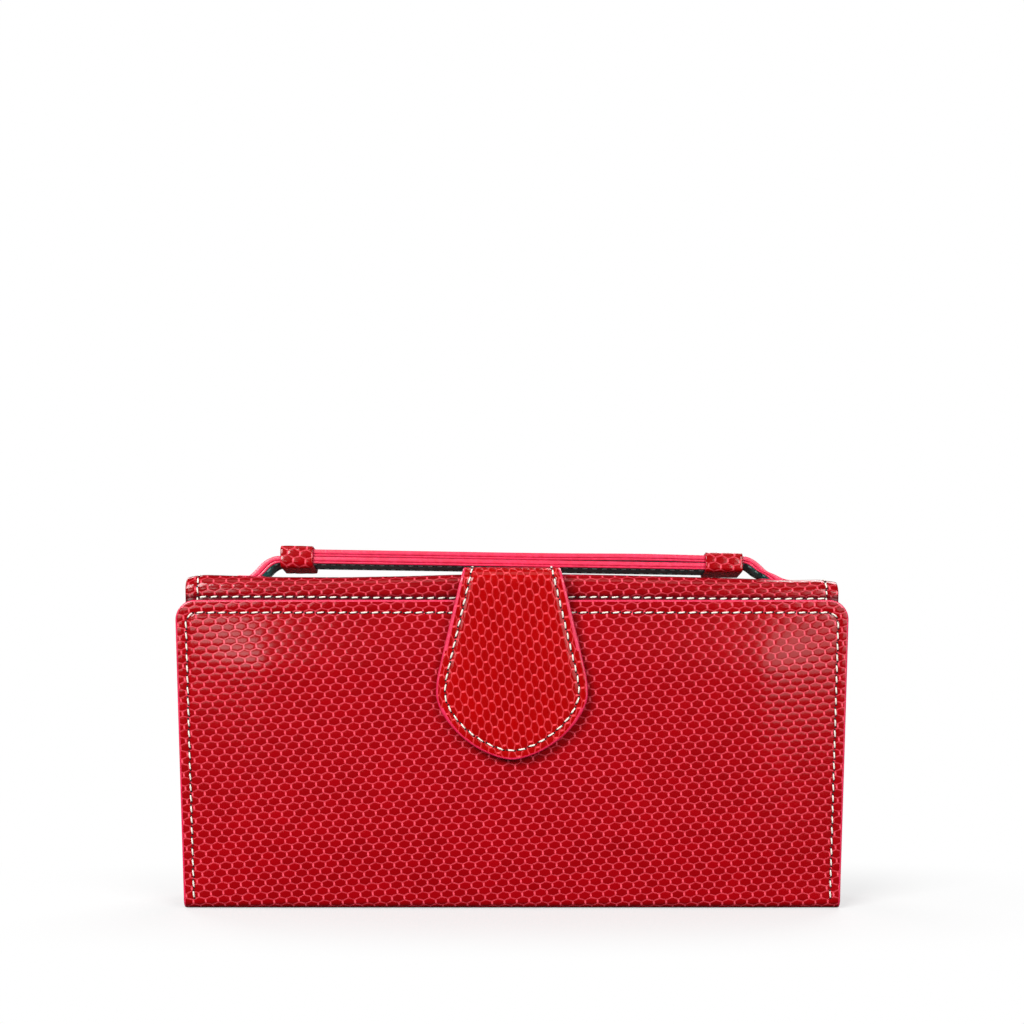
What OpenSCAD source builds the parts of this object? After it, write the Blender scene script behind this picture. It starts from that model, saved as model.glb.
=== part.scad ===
// Clutch-size phone wallet case in embossed patent leather.
// X runs along the wallet, the cover faces -Y, Z is up. The origin is at the middle of the base.
// The cover is hinged along the bottom front edge. A tab comes over the roof from the back and
// snaps to the cover. A flat two-strap handle lies on the roof and lengthens when it is lifted.

/* [Body] */
// Width of the body, roof and gussets
body_w = 195; // [180:1:198]
// Depth from the cover's outer face to the back's outer face
depth = 28; // [28:0.5:34]
// Height of the roof's ridge, at the front
ridge_h = 100.7; // [98:0.1:110]
// Fall of the roof towards the back, in degrees
roof_slope = 9; // [5:0.5:10]
// Radius of the roof's front corner
ridge_r = 4; // [3:0.5:5]
// Radius of the roof's rear corner
rear_r = 5; // [4:0.5:7]
// Radius of the fold along the bottom rear edge
base_r = 4; // [3:0.5:5]
// Distance from the cover's outer face back to the lip's outer face
lip_setback = 3.4; // [3.2:0.1:4]
// Height of the lip's lower edge
lip_bottom = 90.5; // [88:0.5:92]

/* [Cover] */
// Width of the cover at its top edge
cover_top_w = 200; // [190:1:204]
// Width of the cover at the bottom fold
cover_bottom_w = 198; // [188:1:202]
// Height of the cover's top edge
cover_h = 93.2; // [90:0.1:96]
// Radius of the cover's two upper corners
cover_corner_r = 6; // [3:0.5:8]
// Outer radius of the fold that the cover turns on
fold_r = 3; // [3:0.5:4]

/* [Sheet thicknesses] */
// Outer leather
leather_t = 1.2; // [1:0.1:1.4]
// Stiffening board
board_t = 0.8; // [0.6:0.1:0.9]
// Fabric lining
lining_t = 0.5; // [0.4:0.1:0.6]
// Leather of one card slot
slot_t = 0.4; // [0.3:0.1:0.4]
// Lining ply of the tab
tab_lining_t = 0.8; // [0.6:0.1:1]

/* [Tab] */
// Width of the tab over the roof
tab_w = 28.8; // [24:0.2:34]
// Greatest width of the tongue
tongue_w = 45; // [40:0.2:50]
// Height of the tongue's rounded tip
tongue_tip_z = 45.9; // [42:0.1:50]
// Height at which the tongue is widest
tongue_wide_z = 65.5; // [64:0.1:70]
// Space between the tongue and the cover, filled by the snap
snap_gap = 2; // [2:0.1:3]
// Outer radius of the tab's bend over the front edge of the roof
tab_bend_r = 4.5; // [4:0.5:6]
// Height of the tab's sewn end on the back
tab_base_z = 58; // [50:1:70]

/* [Handle] */
// Width of the strap
strap_w = 11; // [9:0.5:12]
// Thickness of one strap, both plies
strap_t = 2.1; // [1.8:0.1:2.4]
// Thickness of the strap's lining ply
strap_lining_t = 0.7; // [0.5:0.1:0.9]
// Height of the lower strap's front bottom edge
strap_z = 103.1; // [103.1:0.1:106]
// Fall of the strap towards the back, in degrees
strap_tilt = 10; // [8:0.5:10]
// Distance of the left keeper's middle from the centre
keeper_left_x = 64.8; // [60:0.1:68]
// Distance of the right keeper's middle from the centre
keeper_right_x = 63.8; // [60:0.1:68]
// Length of the left keeper along the strap
keeper_left_len = 9.8; // [8:0.2:12]
// Length of the right keeper along the strap
keeper_right_len = 11.2; // [8:0.2:12]
// Distance from the centre at which each strap's sewn foot begins, under the roof
anchor_x = 84.5; // [84:0.1:86]

/* [Inside] */
// Height of the phone pocket's front wall
wall_h = 76; // [66:1:80]
// Height of the divider between the phone space and the note space
divider_h = 84; // [76:1:88]
// Height of the zip's middle
zip_z = 60; // [58:1:64]
// Length of the zip's chain
zip_len = 162; // [140:1:166]
// Mouth height of the uppermost card slot
slot_top_z = 76; // [72:1:80]
// Step between the mouths of neighbouring card slots
slot_step = 12; // [9:0.5:12]

/* [Hidden] */
$fn = 48;

// Colours
patent_red = [0.72, 0.02, 0.06];
edge_pink = [0.86, 0.10, 0.27];
teal = [0.02, 0.30, 0.28];
wine = [0.42, 0.02, 0.05];
grey_board = [0.62, 0.58, 0.52];
nickel = [0.80, 0.80, 0.82];

// Faces across the depth
tab_t = leather_t + tab_lining_t;
half_depth = (tab_t + snap_gap + depth + tab_t) / 2;
cover_y = -half_depth + tab_t + snap_gap;
back_y = cover_y + depth;
lip_y = cover_y + lip_setback;
board_y = cover_y + leather_t;
cover_lining_y = board_y + board_t;
slot_y = cover_lining_y + lining_t;
wall_y = cover_y + 5.6;
wall_t = 1;
coin_back_y = wall_y + 4;
divider_y = back_y - 7;
divider_t = 0.8;
back_board_y = back_y - leather_t - board_t;

// Roof arcs, as [y, z] centres, tangent to the lip, the sloping roof and the back
roof_a = 90 - roof_slope;
ridge_c = [lip_y + ridge_r, ridge_h - ridge_r];
rear_c_y = back_y - rear_r;
rear_c_z = ridge_c[1]
    + (ridge_r - rear_r - (rear_c_y - ridge_c[0]) * cos(roof_a)) / sin(roof_a);
rear_c = [rear_c_y, rear_c_z];
fold_c = [cover_y + fold_r, fold_r];
base_c = [back_y - base_r, base_r];
arc_steps = 8;

// Inner widths
gusset_x = body_w / 2 - 0.4;
inner_w = body_w - 3.6;

// Tab: a thin air gap under it, and the centre of its bend
tab_lift = 0.1;
bend_c = [-half_depth + tab_bend_r, ridge_h + tab_lift + tab_t - tab_bend_r];
snap_z = 67;
snap_r = 7;
snap_pin_r = 2;
snap_bore_r = 2.4;
washer_t = 0.4;

// Handle frame: origin at the lower strap's front bottom edge
strap_y = -5;
strap_gap = 0.05;
keeper_t = 0.8;
keeper_play = 0.15;
slit_w = 8.4;
slit_x = anchor_x - 5.9;
foot_z = -6.1;
foot_len = 8.5;
foot_t = 1.6;
patch_t = 1;

// Zip
chain_w = 1.6;
chain_gap = 1.2;
chain_y = wall_y + 0.5;
chain_t = 1.5;
tape_t = 0.5;
tape_w = 8;
tape_y = chain_y + (chain_t - tape_t) / 2;
window_h = 9.6;
slider_w = 8.4;
slider_len = 10;
slider_x = zip_len / 2 - 6;
rivet_r = 0.9;
rivet_play = 0.08;
puller_y = wall_y - 1.7;
puller_t = 0.6;
puller_len = 19;
puller_w = 5;

// A point on the circle of radius r round c, at angle a from +Y towards +Z
function on_arc(c, r, a) = [c[0] + r * cos(a), c[1] + r * sin(a)];

// Half the width of the tongue at height z: a rounded end, a shoulder and straight sides
tongue_taper = 0.24;
tongue_top_z = ridge_h + tab_lift + tab_t;
tongue_top_half = tab_w / 2;
shoulder = 2 * (tongue_w / 2 - tongue_top_half - tongue_taper * (tongue_top_z - tongue_wide_z))
    / -tongue_taper;
function tongue_half(z) =
    z < tongue_wide_z
        ? tongue_w / 2 * pow(1 - pow((tongue_wide_z - z) / (tongue_wide_z - tongue_tip_z), 1.7), 0.62)
    : z < tongue_wide_z + shoulder
        ? tongue_w / 2 - tongue_taper / (2 * shoulder) * pow(z - tongue_wide_z, 2)
    : tongue_top_half + tongue_taper * (tongue_top_z - z);

// Cubic curve between a and d
function curve(a, b, c, d, t) =
    a * pow(1 - t, 3) + b * 3 * t * pow(1 - t, 2) + c * 3 * t * t * (1 - t) + d * pow(t, 3);
function unit(v) = v / norm(v);

// Draws a [y, z] profile and stretches it along X, from the middle outwards
module across(w) {
    rotate([90, 0, 90]) linear_extrude(w, center = true) children();
}

// Draws an [x, z] outline and stretches it along Y, from y0 to y1
module facing(y0, y1) {
    translate([0, y1, 0]) rotate([90, 0, 0]) linear_extrude(y1 - y0) children();
}

// A box given by its lowest and highest corners
module box(low, high) {
    translate(low) cube(high - low);
}

// A disc with its axis along Y, from y0 to y1
module disc(z, r, y0, y1) {
    translate([0, y1, z]) rotate([90, 0, 0]) cylinder(r = r, h = y1 - y0);
}

// Points along an arc, from angle a0 to a1
function arc(c, r, a0, a1) =
    [for (i = [0:arc_steps]) on_arc(c, r, a0 + (a1 - a0) * i / arc_steps)];

// The same list of points in the opposite order
function reversed(points) = [for (i = [len(points) - 1:-1:0]) points[i]];

// Places its children in the handle's tilted frame: X along, Y across to the back, Z up
module on_strap() {
    translate([0, strap_y, strap_z]) rotate([-strap_tilt, 0, 0]) children();
}

// ---- Body ----

// The wrap's profile, from the lip over the roof, down the back and along the base; in is how
// far it lies inside the outer face
function wrap_line(in) = concat(
    [[lip_y + in, lip_bottom]], arc(ridge_c, ridge_r - in, 180, roof_a),
    arc(rear_c, rear_r - in, roof_a, 0), arc(base_c, base_r - in, 0, -90),
    [[fold_c[0], in]]);

module outer_wrap() {
    color(patent_red) difference() {
        across(body_w) polygon(concat(wrap_line(0), reversed(wrap_line(leather_t))));
        // Slits for the ends of the handle
        for (side = [-1, 1])
            on_strap() translate([side * slit_x - slit_w / 2, -0.4, -8])
                cube([slit_w, strap_w + 0.8, 8]);
    }
}

module bottom_fold() {
    color(patent_red) across(cover_bottom_w) polygon(concat(
        arc(fold_c, fold_r, 180, 270), arc(fold_c, fold_r - leather_t, 270, 180)));
}

module back_board() {
    color(grey_board)
        box([-inner_w / 2 + 1, back_board_y, base_r], [inner_w / 2 - 1, back_y - leather_t, rear_c[1]]);
}

module base_board() {
    color(grey_board)
        box([-inner_w / 2 + 1, wall_y + 1.2, leather_t], [inner_w / 2 - 1, base_c[0], leather_t + board_t]);
}

module body_lining() {
    floor_z = leather_t + board_t;
    low = [coin_back_y + lining_t, floor_z];
    high = [back_board_y, rear_c[1]];
    corner = 1.5;
    color(wine) across(inner_w) polygon([low, [high[0] - corner, low[1]],
        [high[0], low[1] + corner], high, [high[0] - lining_t, high[1]],
        [high[0] - lining_t, low[1] + corner + lining_t],
        [high[0] - corner - lining_t, low[1] + lining_t], [low[0], low[1] + lining_t]]);
}

// Side wall, cut to the inside of the wrap
module gusset() {
    across(leather_t) polygon(concat(
        [[wall_y, leather_t]], arc(base_c, base_r - leather_t, -90, 0),
        arc(rear_c, rear_r - leather_t, 0, roof_a), arc(ridge_c, ridge_r - leather_t, roof_a, 140),
        [[wall_y, ridge_c[1] - 1]]));
}

module gusset_left() {
    color(patent_red) translate([-gusset_x + leather_t / 2, 0, 0]) gusset();
}

module gusset_right() {
    color(patent_red) translate([gusset_x - leather_t / 2, 0, 0]) gusset();
}

module pocket_wall() {
    window = [zip_len / 2 + 3, zip_z + window_h / 2];
    color(patent_red) difference() {
        box([-inner_w / 2, wall_y, leather_t], [inner_w / 2, wall_y + wall_t, wall_h]);
        box([-window[0], wall_y - 1, zip_z - window_h / 2], [window[0], wall_y + 2, window[1]]);
    }
}

module coin_pocket_back() {
    color(wine)
        box([-inner_w / 2, coin_back_y, leather_t + board_t],
            [inner_w / 2, coin_back_y + lining_t, wall_h]);
}

module divider() {
    color(wine)
        box([-inner_w / 2, divider_y, leather_t + board_t + lining_t],
            [inner_w / 2, divider_y + divider_t, divider_h]);
}

// ---- Zip of the coin pocket ----

module zip_tapes() {
    inner = chain_gap / 2 + chain_w;
    color(wine) for (side = [-1, 1])
        translate([0, tape_y + tape_t / 2, zip_z + side * (inner + tape_w / 2)])
            cube([zip_len + 12, tape_t, tape_w], center = true);
}

module zip_chain(side) {
    translate([0, chain_y + chain_t / 2, zip_z + side * (chain_gap + chain_w) / 2])
        cube([zip_len, chain_t, chain_w], center = true);
}

module zip_chain_upper() {
    color(nickel) zip_chain(1);
}

module zip_chain_lower() {
    color(nickel) zip_chain(-1);
}

module zip_end_stops() {
    stop = [2, chain_t + 0.2, chain_gap + 2 * chain_w];
    color(nickel) for (side = [-1, 1])
        translate([side * (zip_len / 2 + stop[0] / 2), chain_y + chain_t / 2, zip_z])
            cube(stop, center = true);
}

module zip_slider() {
    plate_t = 1;
    front_y = chain_y - 0.2;
    rear_y = chain_y + chain_t + 0.2;
    half = [slider_len / 2, slider_w / 2];
    flange = 1.7;
    color(nickel) translate([slider_x, 0, zip_z]) {
        box([-half[0], front_y - plate_t, -half[1]], [half[0], front_y, half[1]]);
        box([-half[0], rear_y, -half[1]], [half[0], rear_y + plate_t, half[1]]);
        for (side = [-1, 1]) {
            translate([0, front_y + 0.25, side * (half[1] - flange / 2)])
                cube([slider_len, 0.5, flange], center = true);
            translate([0, rear_y - 0.25, side * (half[1] - flange / 2)])
                cube([slider_len, 0.5, flange], center = true);
        }
        // Post between the two halves of the chain
        box([-0.8, front_y, -0.4], [0.8, rear_y, 0.4]);
        // Rivet that carries the puller
        disc(0, rivet_r, puller_y - 0.2, front_y - plate_t);
        disc(0, 1.7, puller_y - 0.4, puller_y - 0.1);
    }
}

module zip_puller() {
    top_r = 2;
    color(nickel) translate([slider_x, 0, zip_z]) difference() {
        union() {
            disc(0, top_r, puller_y, puller_y + puller_t);
            box([-top_r, puller_y, -5], [top_r, puller_y + puller_t, 0]);
            box([-puller_w / 2, puller_y, -puller_len + puller_w / 2],
                [puller_w / 2, puller_y + puller_t, -5]);
            disc(-puller_len + puller_w / 2, puller_w / 2, puller_y, puller_y + puller_t);
        }
        disc(0, rivet_r + rivet_play, puller_y - 1, puller_y + 2);
    }
}

// ---- Closing tab ----

// Profile of the fixed part, from the bend over the roof to the sewn end on the back; out is
// how far it stands out from the wrap
function bridge_line(out) = concat(
    [[bend_c[0], ridge_h + out]], arc(ridge_c, ridge_r + out, 90, roof_a),
    arc(rear_c, rear_r + out, roof_a, 0), [[back_y + out, tab_base_z]]);

module bridge_ply(out, t) {
    across(tab_w) polygon(concat(bridge_line(out), reversed(bridge_line(out - t))));
}

module tab_bridge() {
    color(patent_red) difference() {
        bridge_ply(tab_lift + tab_t, leather_t);
        // On the back the tab touches the wrap, so its outer face is trimmed to the full depth
        box([-tab_w, half_depth, 0], [tab_w, half_depth + 2, ridge_h]);
    }
}

module tab_bridge_lining() {
    color(wine) bridge_ply(tab_lift + tab_lining_t, tab_lining_t);
}

module tongue_outline() {
    steps = 20;
    heights = [for (i = [0:steps])
        tongue_tip_z + (tongue_wide_z - tongue_tip_z) * (1 - cos(90 * i / steps))];
    side = concat([for (z = heights) [tongue_half(z), z]],
        [for (i = [1:4]) let(z = tongue_wide_z + shoulder * i / 4) [tongue_half(z), z]],
        [[tongue_half(tongue_top_z), tongue_top_z]]);
    polygon(concat(side, [for (i = [len(side) - 1:-1:1]) [-side[i][0], side[i][1]]]));
}

// Profile of the moving part, from the bend over the roof's edge down to below the tip; in is
// the depth inside the tab's outer face
function tongue_line(in) = concat(
    arc(bend_c, tab_bend_r - in, 90, 180), [[-half_depth + in, 0]]);

module tongue_ply(in, t) {
    intersection() {
        across(2 * tongue_w) polygon(concat(tongue_line(in), reversed(tongue_line(in + t))));
        facing(-half_depth - 1, 0) tongue_outline();
    }
}

module tab_tongue() {
    color(patent_red) difference() {
        tongue_ply(0, leather_t);
        disc(snap_z, snap_r - 1, -half_depth + leather_t - washer_t, -half_depth + leather_t + 1);
    }
}

module tab_tongue_lining() {
    color(wine) tongue_ply(leather_t, tab_lining_t);
}

module snap_stud_washer() {
    color(nickel)
        disc(snap_z, snap_r - 1, -half_depth + leather_t - washer_t, -half_depth + leather_t);
}

module snap_stud() {
    face = -half_depth + tab_t;
    color(nickel) {
        disc(snap_z, snap_r - 1, face, face + 0.4);
        disc(snap_z, snap_pin_r, face + 0.4, cover_y - 0.2);
    }
}

module snap_socket() {
    color(nickel) difference() {
        disc(snap_z, snap_r, cover_y - 1.5, cover_y);
        disc(snap_z, snap_bore_r, cover_y - 2, cover_y - 0.1);
    }
}

module snap_socket_washer() {
    color(nickel) disc(snap_z, snap_r, board_y, board_y + washer_t);
}

// ---- Cover ----

// Outline of the cover from height z0, drawn smaller by inset
module cover_outline(z0, inset) {
    bottom = cover_bottom_w / 2 - inset;
    top = cover_top_w / 2 - inset;
    r = cover_corner_r;
    corner = [top - r, cover_h - inset - r];
    steps = 8;
    side = concat([[bottom, z0]], [for (i = [0:steps]) on_arc(corner, r, 90 * i / steps)]);
    polygon(concat(side, [for (i = [len(side) - 1:-1:0]) [-side[i][0], side[i][1]]]));
}

module cover_leather() {
    color(patent_red) facing(cover_y, board_y) cover_outline(fold_r, 0);
}

module cover_board() {
    color(grey_board) difference() {
        facing(board_y, cover_lining_y) cover_outline(fold_r + 3, 4);
        disc(snap_z, snap_r, board_y - 1, board_y + washer_t);
    }
}

module cover_lining() {
    color(wine) facing(cover_lining_y, slot_y) cover_outline(fold_r + 2, 1);
}

// One stepped card slot: side is -1 or 1, and place counts from the uppermost, 0
module card_slot(side, place) {
    near = 2;
    far = 94;
    base_z = 16;
    x0 = side < 0 ? -far : near;
    x1 = side < 0 ? -near : far;
    y0 = slot_y + place * slot_t;
    color(patent_red) box([x0, y0, base_z], [x1, y0 + slot_t, slot_top_z - place * slot_step]);
}

module card_slot_left_1() { card_slot(-1, 0); }
module card_slot_left_2() { card_slot(-1, 1); }
module card_slot_left_3() { card_slot(-1, 2); }
module card_slot_right_1() { card_slot(1, 0); }
module card_slot_right_2() { card_slot(1, 1); }
module card_slot_right_3() { card_slot(1, 2); }

// ---- Handle ----

keeper_left_outer = -keeper_left_x - keeper_left_len / 2;
keeper_right_outer = keeper_right_x + keeper_right_len / 2;
upper_z = strap_t + strap_gap;

module strap_left() {
    color(edge_pink) on_strap()
        box([keeper_left_outer - 0.3, 0, strap_lining_t], [keeper_right_outer, strap_w, strap_t]);
}

module strap_left_lining() {
    color(teal) on_strap()
        box([keeper_left_outer - 0.3, 0, 0], [keeper_right_outer, strap_w, strap_lining_t]);
}

module strap_right() {
    color(edge_pink) on_strap()
        box([keeper_left_outer, 0, upper_z + strap_lining_t],
            [keeper_right_outer + 0.3, strap_w, upper_z + strap_t]);
}

module strap_right_lining() {
    color(teal) on_strap()
        box([keeper_left_outer, 0, upper_z],
            [keeper_right_outer + 0.3, strap_w, upper_z + strap_lining_t]);
}

// Leather loop round both straps
module keeper(x, length) {
    low = [-keeper_play - keeper_t, -keeper_play - keeper_t];
    size = [strap_w + 2 * (keeper_play + keeper_t), 2 * strap_t + strap_gap + 2 * (keeper_play + keeper_t)];
    color(patent_red) on_strap() translate([x, 0, 0]) across(length) difference() {
        translate(low) square(size);
        translate(low + [keeper_t, keeper_t]) square(size - 2 * [keeper_t, keeper_t]);
    }
}

module keeper_left() { keeper(-keeper_left_x, keeper_left_len); }
module keeper_right() { keeper(keeper_right_x, keeper_right_len); }

// Flexible end of a strap: it leaves the keeper at height z, slants down through the slit in the
// roof, thins a little and runs outwards as a sewn foot. Drawn for the right side
module riser(start_x, z) {
    steps = 16;
    foot_mid = foot_z + foot_t / 2;
    a = [start_x, z];
    b = [start_x + 4.6, z];
    c = [anchor_x - 7.5, foot_mid];
    d = [anchor_x, foot_mid];
    line = [for (i = [0:steps]) curve(a, b, c, d, i / steps)];
    across = [for (i = [0:steps])
        let(t = i == 0 || i == steps ? [1, 0] : unit(line[i + 1] - line[i - 1]))
        [-t[1], t[0]] * (strap_t + (foot_t - strap_t) * i / steps) / 2];
    upper = [for (i = [0:steps]) line[i] + across[i]];
    lower = [for (i = [steps:-1:0]) line[i] - across[i]];
    foot = [[anchor_x + foot_len, foot_z + foot_t], [anchor_x + foot_len, foot_z]];
    translate([0, strap_w, 0]) rotate([90, 0, 0]) linear_extrude(strap_w)
        polygon(concat(upper, foot, lower));
}

module riser_left() {
    color(edge_pink) on_strap() mirror([1, 0, 0]) riser(-keeper_left_outer + 0.4, strap_t / 2);
}

module riser_right() {
    color(edge_pink) on_strap() riser(keeper_right_outer + 0.4, upper_z + strap_t / 2);
}

// Leather patches under the roof that the strap ends are sewn to
module anchor_patches() {
    color(wine) on_strap() for (side = [-1, 1])
        translate([side * (anchor_x + foot_len / 2), strap_w / 2, foot_z - patch_t / 2])
            cube([foot_len + 2.4, strap_w - 1, patch_t], center = true);
}

outer_wrap();
bottom_fold();
back_board();
base_board();
body_lining();
gusset_left();
gusset_right();
pocket_wall();
coin_pocket_back();
divider();
zip_tapes();
zip_chain_upper();
zip_chain_lower();
zip_end_stops();
zip_slider();
zip_puller();
tab_bridge();
tab_bridge_lining();
tab_tongue();
tab_tongue_lining();
snap_stud();
snap_stud_washer();
snap_socket();
snap_socket_washer();
cover_leather();
cover_board();
cover_lining();
card_slot_left_1();
card_slot_left_2();
card_slot_left_3();
card_slot_right_1();
card_slot_right_2();
card_slot_right_3();
strap_left();
strap_left_lining();
strap_right();
strap_right_lining();
keeper_left();
keeper_right();
riser_left();
riser_right();
anchor_patches();
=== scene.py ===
"""Looks of the phone wallet case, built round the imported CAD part.

Lengths are in millimetres until a mesh is made. X runs along the wallet, the cover faces -Y and
Z is up. A leather sheet is described in flat coordinates, (x, s): across it, and along it.
"""
import math

import bmesh
import bpy
import numpy as np
from mathutils.geometry import delaunay_2d_cdt
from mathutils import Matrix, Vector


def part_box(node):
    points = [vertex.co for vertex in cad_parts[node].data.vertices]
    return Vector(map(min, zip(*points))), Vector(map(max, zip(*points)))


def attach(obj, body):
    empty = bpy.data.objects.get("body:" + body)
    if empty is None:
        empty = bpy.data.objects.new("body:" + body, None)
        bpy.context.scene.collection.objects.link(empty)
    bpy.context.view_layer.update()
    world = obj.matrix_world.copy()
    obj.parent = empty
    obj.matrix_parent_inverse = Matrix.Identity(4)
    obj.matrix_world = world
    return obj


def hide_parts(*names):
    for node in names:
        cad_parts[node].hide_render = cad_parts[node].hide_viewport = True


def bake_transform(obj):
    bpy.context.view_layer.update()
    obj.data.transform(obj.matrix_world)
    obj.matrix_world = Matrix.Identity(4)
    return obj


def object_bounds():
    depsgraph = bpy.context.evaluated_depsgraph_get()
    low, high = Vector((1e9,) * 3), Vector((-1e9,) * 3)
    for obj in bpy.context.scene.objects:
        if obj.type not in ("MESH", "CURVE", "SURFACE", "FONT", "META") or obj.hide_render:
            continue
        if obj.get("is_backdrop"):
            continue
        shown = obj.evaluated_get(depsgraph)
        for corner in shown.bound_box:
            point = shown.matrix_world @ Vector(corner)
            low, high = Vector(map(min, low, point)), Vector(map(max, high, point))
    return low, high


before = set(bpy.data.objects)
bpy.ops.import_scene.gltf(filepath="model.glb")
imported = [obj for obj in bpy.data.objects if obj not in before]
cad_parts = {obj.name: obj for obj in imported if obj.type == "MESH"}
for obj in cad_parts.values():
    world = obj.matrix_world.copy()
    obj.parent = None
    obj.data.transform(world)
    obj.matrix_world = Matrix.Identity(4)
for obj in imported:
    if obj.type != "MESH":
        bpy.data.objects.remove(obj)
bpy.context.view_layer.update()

MM = 0.001


def cad(node):
    """Lowest and highest corner of a CAD node, in millimetres"""
    low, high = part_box(node)
    return np.array(low) / MM, np.array(high) / MM


# ---- Camera ----

camera = bpy.data.objects.new("camera", bpy.data.cameras.new("camera"))
bpy.context.scene.collection.objects.link(camera)
camera.location = (0, -0.463, 0.103)
camera.rotation_euler = (math.radians(85), 0, 0)
camera.data.lens = 53.27
camera.data.sensor_width = 36
camera.data.shift_y = 0.1829
camera.data.clip_start = 0.01
camera.data.clip_end = 20
bpy.context.scene.camera = camera

# ---- Numbers from the CAD part ----

WRAP_LOW, WRAP_HIGH = cad("outer_wrap")
COVER_LOW, COVER_HIGH = cad("cover_leather")
TONGUE_LOW, TONGUE_HIGH = cad("tab_tongue")
BRIDGE_LOW, BRIDGE_HIGH = cad("tab_bridge")
LEATHER = 1.2
LIP_Y, BACK_Y, RIDGE_Z = WRAP_LOW[1], WRAP_HIGH[1], WRAP_HIGH[2]
COVER_Y, COVER_TOP = COVER_LOW[1], COVER_HIGH[2]
ROOF_ANGLE = 81
RIDGE_C, RIDGE_R = (LIP_Y + 4, RIDGE_Z - 4), 4
REAR_R = 5
REAR_DROP = ((BACK_Y - REAR_R - RIDGE_C[0]) * math.cos(math.radians(ROOF_ANGLE)) + REAR_R
             - RIDGE_R) / math.sin(math.radians(ROOF_ANGLE))
REAR_C = (BACK_Y - REAR_R, RIDGE_C[1] - REAR_DROP)
BASE_C, BASE_R = (BACK_Y - 4, 4), 4
FOLD_C, FOLD_R = (COVER_Y + 3, 3), 3
HALF_WRAP = WRAP_HIGH[0]
SNAP_Z = cad("snap_stud")[0][2] + 6


# ---- Small numeric helpers ----

def smooth(a, b, x):
    t = np.clip((x - a) / (b - a), 0, 1)
    return t * t * (3 - 2 * t)


def bump(x, width):
    return np.exp(-((x / width) ** 2))


def arc(c, r, a0, a1, n=48):
    a = np.radians(np.linspace(a0, a1, n))
    return np.stack([c[0] + r * np.cos(a), c[1] + r * np.sin(a)], 1)


def lengths(points):
    """Distance along a line of points, at each point"""
    steps = np.linalg.norm(np.diff(points, axis=0), axis=1)
    return np.concatenate([[0], np.cumsum(steps)])


def resample(points, step, closed=False):
    """Points at even spacing along a line"""
    points = np.asarray(points, float)
    if closed:
        points = np.vstack([points, points[:1]])
    s = lengths(points)
    count = max(2, int(round(s[-1] / step)) + 1)
    at = np.linspace(0, s[-1], count)
    out = np.stack([np.interp(at, s, points[:, k]) for k in range(points.shape[1])], 1)
    return out[:-1] if closed else out


class Path:
    """A line in a plane, measured along its length, with a normal on the side given"""

    def __init__(self, parts, side=1):
        raw = np.vstack([np.atleast_2d(p) for p in parts])
        raw = raw[np.concatenate([[True], np.linalg.norm(np.diff(raw, axis=0), axis=1) > 1e-6])]
        self.p = resample(raw, 0.1)
        self.s = lengths(self.p)
        self.length = self.s[-1]
        t = np.gradient(self.p, self.s, axis=0)
        t /= np.linalg.norm(t, axis=1)[:, None]
        self.n = side * np.stack([-t[:, 1], t[:, 0]], 1)

    def at(self, s, out=0.0):
        a, b = (np.interp(s, self.s, self.p[:, k]) for k in (0, 1))
        na, nb = (np.interp(s, self.s, self.n[:, k]) for k in (0, 1))
        return a + out * na, b + out * nb

    def find(self, a, b):
        return self.s[np.argmin(np.hypot(self.p[:, 0] - a, self.p[:, 1] - b))]


def line_gap(x, v, line, closed=True):
    """Distance of each point from a line of points"""
    line = np.asarray(line, float)
    ends = np.roll(line, -1, 0) if closed else line[1:]
    best = np.full(np.shape(x), 1e9)
    for (x0, v0), (x1, v1) in zip(line, ends):
        dx, dv = x1 - x0, v1 - v0
        t = np.clip(((x - x0) * dx + (v - v0) * dv) / max(dx * dx + dv * dv, 1e-9), 0, 1)
        best = np.minimum(best, np.hypot(x - x0 - t * dx, v - v0 - t * dv))
    return best


def rim_drop(gap, r=0.45):
    """How far a rounded edge lies below the face, at this distance from the outline"""
    d = np.clip(gap, 0, r)
    return r - np.sqrt(np.maximum(r * r - (r - d) ** 2, 0))


def graded(a, b, step, rim=(0, 0.1, 0.25, 0.5)):
    """Positions from a to b, closer together at both ends"""
    rim = np.array(rim)
    middle = np.linspace(a + rim[-1], b - rim[-1], max(3, int(round((b - a) / step))))[1:-1]
    return np.concatenate([a + rim, middle, b - rim[::-1]])


# ---- The embossed scales ----

ROW = (3.72, 0.32)
COLUMN = (-0.42, 4.05)
TO_CELL = np.linalg.inv(np.array([ROW, COLUMN]).T)
# On the tab the scales stand upright: its rows run down the tab
TAB_ROW = (0.54, 3.85)
TAB_COLUMN = (3.86, -0.56)
TURN = np.array([ROW, COLUMN]).T @ np.linalg.inv(np.array([TAB_ROW, TAB_COLUMN]).T)
ROOT3 = math.sqrt(3)


def scale_edge(u, v):
    """Distance from the nearest line of the net, in mm, for flat coordinates in mm"""
    a = TO_CELL[0, 0] * u + TO_CELL[0, 1] * v
    b = TO_CELL[1, 0] * u + TO_CELL[1, 1] * v
    x0, y0 = a - np.round(a), (b - np.round(b)) * ROOT3
    x1, y1 = a - 0.5 - np.round(a - 0.5), (b - 0.5 - np.round(b - 0.5)) * ROOT3
    first = x0 ** 2 + y0 ** 2 < x1 ** 2 + y1 ** 2
    x, y = np.abs(np.where(first, x0, x1)), np.abs(np.where(first, y0, y1))
    return np.minimum(3.73 * (0.5 - x), 2.5 * (0.5 - (x / 2 + ROOT3 / 2 * y)))


def scales(u, v, height=0.03):
    """Height of the scales above the net"""
    e = np.clip(scale_edge(u, v) / 1.0, 0, 1)
    return height * (1 - (1 - e) ** 2)


# ---- Materials ----

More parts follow.
